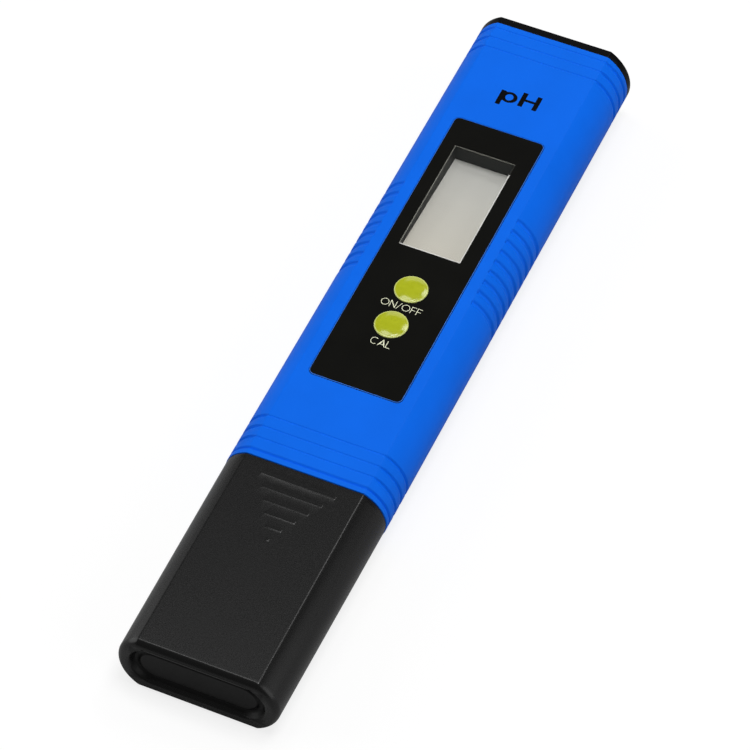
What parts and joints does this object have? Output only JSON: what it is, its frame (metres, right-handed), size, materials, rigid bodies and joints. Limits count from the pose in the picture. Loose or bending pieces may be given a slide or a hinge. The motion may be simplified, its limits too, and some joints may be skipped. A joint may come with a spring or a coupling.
{
  "type": "ph test pen",
  "caption": "Slim pocket pH tester with a recessed display, push buttons, a pull-off probe cap over a guarded glass bulb, and a pull-out battery cap with a cell tray.",
  "frame": {"origin": "bottom centre of the bounding box, on the flat back that the pen lies on", "axes": "+Y runs from the probe cap to the battery cap, +Z points out of the front face, +X is to the right when the front is seen with the battery cap up"},
  "size_m": [0.0304, 0.155, 0.0147],
  "materials": {
    "blue_case": "fine satin moulded",
    "black_panel": "gloss",
    "clear_window": "clear gloss",
    "dark_frame": "matte",
    "lcd_face": "soft satin film",
    "lcd_cell": "clear",
    "lcd_foil": "satin",
    "zebra_rubber": "matte",
    "board": "solder mask",
    "chip_resin": "satin resin",
    "component_body": "satin",
    "screw_steel": "plated",
    "switch_body": "matte",
    "contact_metal": "plated spring metal",
    "black_probe": "satin",
    "bulb_glass": "clear gloss",
    "silver_wire": "drawn",
    "bung_rubber": "matte",
    "lead_insulation": "satin",
    "porous_plug": "porous matte",
    "seal_rubber": "matte",
    "lime_button": "gloss",
    "plunger_plastic": "satin",
    "black_cap": "fine satin moulded",
    "sponge": "open cell foam",
    "tray_plastic": "satin",
    "cell_steel": "bright plated",
    "cream_print": "thin printed ink",
    "black_print": "thin printed ink"
  },
  "bodies": {
    "meter_body": {"front_housing": "blue_case", "back_cover": "blue_case", "front_panel": "black_panel", "display_window": "clear_window", "lcd_frame": "dark_frame", "lcd_polarizer": "lcd_face", "lcd_glass": "lcd_cell", "lcd_reflector": "lcd_foil", "zebra_strips": "zebra_rubber", "main_board": "board", "controller_chip": "chip_resin", "amplifier_chip": "chip_resin", "board_components": "component_body", "board_screws": "screw_steel", "power_switch": "switch_body", "cal_switch": "switch_body", "positive_contact": "contact_metal", "negative_contact": "contact_metal", "electrode_housing": "black_probe", "glass_electrode": "bulb_glass", "reference_wire": "silver_wire", "electrode_bung": "bung_rubber", "electrode_leads": "lead_insulation", "junction_plug": "porous_plug", "cap_seal_ring": "seal_rubber"},
    "power_button": {"power_button": "lime_button", "power_plunger": "plunger_plastic"},
    "cal_button": {"cal_button": "lime_button", "cal_plunger": "plunger_plastic"},
    "probe_cap": {"probe_cap": "black_cap", "storage_sponge": "sponge"},
    "battery_cap": {"battery_cap": "black_cap", "battery_tray": "tray_plastic", "left_cell": "cell_steel", "right_cell": "cell_steel", "cell_bridge": "contact_metal"}
  },
  "joints": [
    {"name": "power_press", "type": "slide", "parent": "meter_body", "child": "power_button", "axis": [0, 0.0148, -0.9999], "range_m": [0, 0.0004], "stiffness_N_per_m": 600},
    {"name": "cal_press", "type": "slide", "parent": "meter_body", "child": "cal_button", "axis": [0, 0.0148, -0.9999], "range_m": [0, 0.0004], "stiffness_N_per_m": 600},
    {"name": "probe_cap_pull", "type": "slide", "parent": "meter_body", "child": "probe_cap", "axis": [0, -1, 0], "range_m": [0, 0.05]},
    {"name": "battery_cap_pull", "type": "slide", "parent": "meter_body", "child": "battery_cap", "axis": [0, 1, 0], "range_m": [0, 0.022]}
  ]
}
